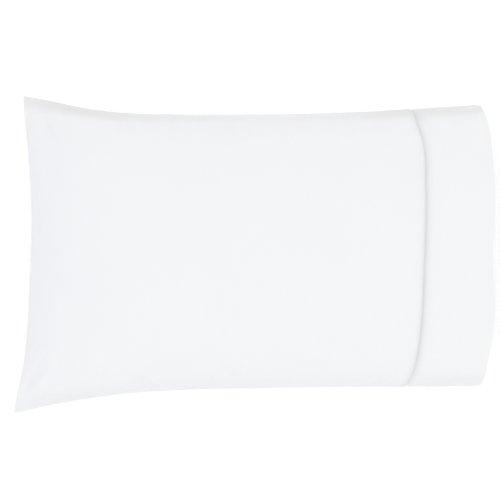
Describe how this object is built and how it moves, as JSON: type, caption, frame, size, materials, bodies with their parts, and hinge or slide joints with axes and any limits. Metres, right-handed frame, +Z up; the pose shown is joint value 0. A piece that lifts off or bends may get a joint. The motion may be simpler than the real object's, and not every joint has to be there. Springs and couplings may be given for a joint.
{
  "type": "pillowcase",
  "caption": "Plain white pillowcase lying full on its back, with pointed ears at the closed end and a deep turned hem round its open mouth.",
  "frame": {"origin": "on the floor, under the middle of the whole case", "axes": "+X along the case from the closed end to the mouth, +Y across it, +Z up through the crown"},
  "size_m": [0.7728, 0.5114, 0.1463],
  "materials": {
    "cotton": "smooth matt plain-weave cotton, bleached white"
  },
  "bodies": {
    "root": {"pillowcase": "cotton"}
  },
  "joints": []
}
